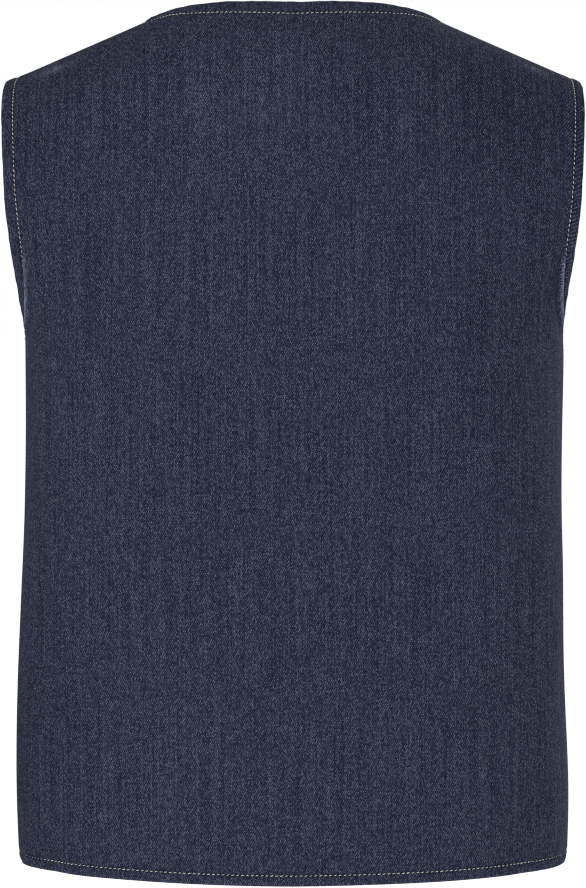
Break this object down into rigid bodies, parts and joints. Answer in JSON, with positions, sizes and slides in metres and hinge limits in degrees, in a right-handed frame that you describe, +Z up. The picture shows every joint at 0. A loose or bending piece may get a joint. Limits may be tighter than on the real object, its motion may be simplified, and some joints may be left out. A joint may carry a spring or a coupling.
{
  "type": "sleeveless denim vest, in its worn shape with no wearer",
  "caption": "Boxy sleeveless denim vest with a plain round neck, one-piece back and buttoned lapped fronts, hollow as worn.",
  "frame": {"origin": "midway between the two inner ends of the shoulder seams, on the line where the wearer's shoulders carry the vest", "axes": "+Z up along the body, -Y towards the front where it buttons, +X towards the wearer's left"},
  "size_m": [0.381, 0.2342, 0.5709],
  "materials": {
    "denim": "dark rinsed indigo right-hand twill, matt, with pale slubs",
    "thread": "ecru topstitching thread, soft sheen",
    "button_metal": "aged satin brass"
  },
  "bodies": {
    "root": {"back": "denim", "front_left": "denim", "front_right": "denim", "button_1": "button_metal", "button_2": "button_metal", "button_3": "button_metal", "button_4": "button_metal", "button_5": "button_metal", "button_6": "button_metal"}
  },
  "joints": []
}
